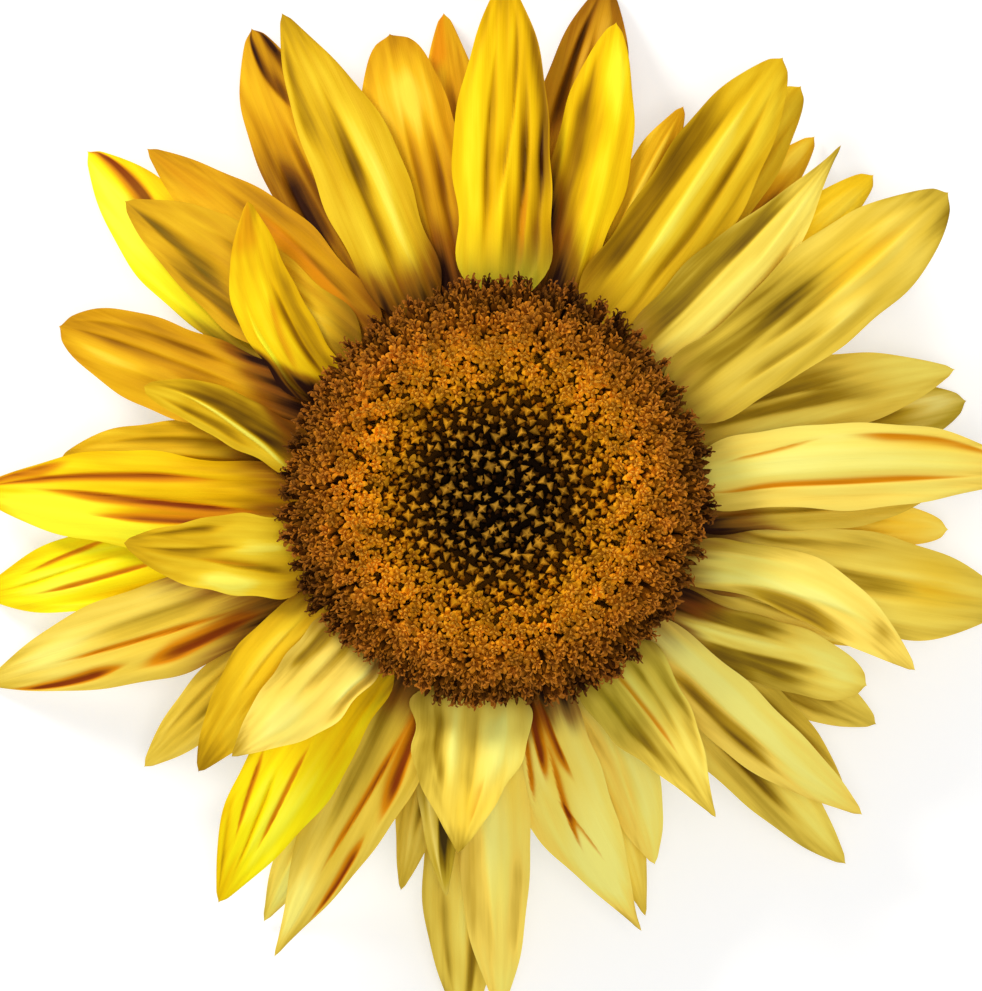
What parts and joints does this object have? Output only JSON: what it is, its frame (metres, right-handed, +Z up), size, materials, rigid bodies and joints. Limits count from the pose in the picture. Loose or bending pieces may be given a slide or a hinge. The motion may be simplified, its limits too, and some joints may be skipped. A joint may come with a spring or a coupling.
{
  "type": "cut sunflower",
  "caption": "Cut sunflower head lying face up on its own bent stem, with rows of pointed yellow petals round a brown and orange disc of florets.",
  "frame": {"origin": "middle of the bottom of the flower's box, on the surface it lies on", "axes": "+Z up, along the axis of the head towards its face; the stem lies towards -Y"},
  "size_m": [0.168, 0.1684, 0.0485],
  "materials": {
    "stem_green": "satin",
    "head_green": "satin",
    "bract_green": "satin",
    "bud_brown": "matte",
    "open_orange": "matte",
    "rim_brown": "matte",
    "petal_gold": "satin",
    "petal_yellow": "satin",
    "petal_lemon": "satin"
  },
  "bodies": {
    "root": {"stem": "stem_green", "receptacle": "head_green", "bracts": "bract_green", "florets_bud": "bud_brown", "florets_open": "open_orange", "florets_rim": "rim_brown", "petal_back_01": "petal_gold", "petal_back_02": "petal_gold", "petal_back_03": "petal_gold", "petal_back_04": "petal_gold", "petal_back_05": "petal_gold", "petal_back_06": "petal_gold", "petal_back_07": "petal_gold", "petal_back_08": "petal_gold", "petal_back_09": "petal_gold", "petal_back_10": "petal_gold", "petal_back_11": "petal_gold", "petal_back_12": "petal_gold", "petal_back_13": "petal_gold", "petal_back_14": "petal_gold", "petal_back_15": "petal_gold", "petal_back_16": "petal_gold", "petal_back_17": "petal_gold", "petal_back_18": "petal_gold", "petal_back_19": "petal_gold", "petal_back_20": "petal_gold", "petal_back_21": "petal_gold", "petal_middle_01": "petal_yellow", "petal_middle_02": "petal_yellow", "petal_middle_03": "petal_yellow", "petal_middle_04": "petal_yellow", "petal_middle_05": "petal_yellow", "petal_middle_06": "petal_yellow", "petal_middle_07": "petal_yellow", "petal_middle_08": "petal_yellow", "petal_middle_09": "petal_yellow", "petal_middle_10": "petal_yellow", "petal_middle_11": "petal_yellow", "petal_middle_12": "petal_yellow", "petal_middle_13": "petal_yellow", "petal_middle_14": "petal_yellow", "petal_middle_15": "petal_yellow", "petal_middle_16": "petal_yellow", "petal_middle_17": "petal_yellow", "petal_middle_18": "petal_yellow", "petal_middle_19": "petal_yellow", "petal_middle_20": "petal_yellow", "petal_front_01": "petal_lemon", "petal_front_02": "petal_lemon", "petal_front_03": "petal_lemon", "petal_front_04": "petal_lemon", "petal_front_05": "petal_lemon", "petal_front_06": "petal_lemon", "petal_front_07": "petal_lemon", "petal_front_08": "petal_lemon", "petal_front_09": "petal_lemon", "petal_front_10": "petal_lemon", "petal_front_11": "petal_lemon", "petal_front_12": "petal_lemon", "petal_front_13": "petal_lemon"}
  },
  "joints": []
}
